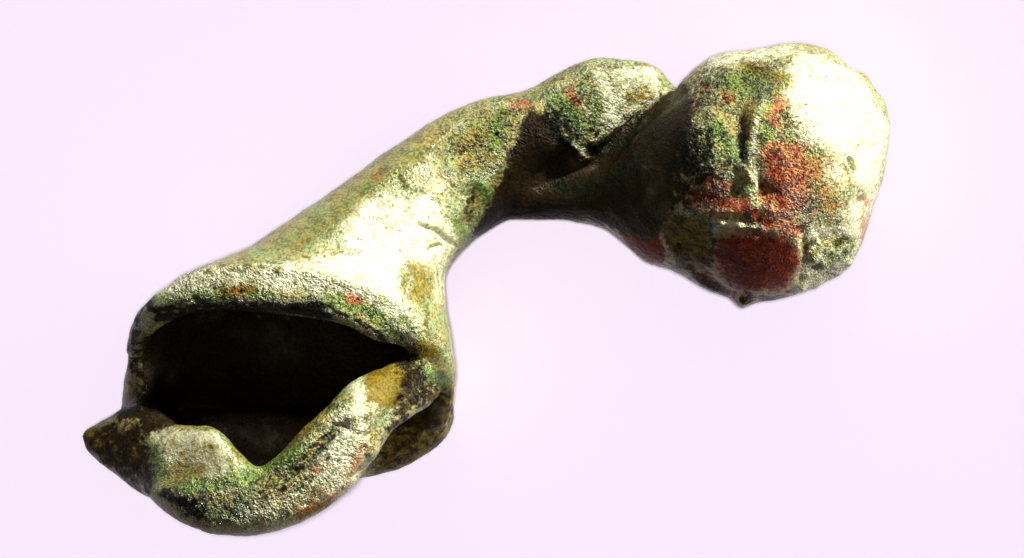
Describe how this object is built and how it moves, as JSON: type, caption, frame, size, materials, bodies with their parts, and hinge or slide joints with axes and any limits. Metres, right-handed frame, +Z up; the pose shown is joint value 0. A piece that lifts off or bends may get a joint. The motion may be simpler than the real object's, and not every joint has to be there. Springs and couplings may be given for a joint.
{
  "type": "fibula brooch",
  "caption": "Broken cast-bronze fibula brooch: hollow bell-shaped head with a thick lip, a heavy loop and a spur, a narrow bow with a rounded stub, and a large pear-shaped knob.",
  "frame": {"origin": "centre of the bounding box on the surface that the brooch lies on", "axes": "+Z up from the surface, +X from the spur to the knob along the longest side, +Y from the loop to the crown of the bow"},
  "size_m": [0.0364, 0.0222, 0.0105],
  "materials": {
    "bronze": "corroded bronze with a granular grey-green, dark green and red-brown patina"
  },
  "bodies": {
    "root": {"brooch": "bronze"}
  },
  "joints": []
}
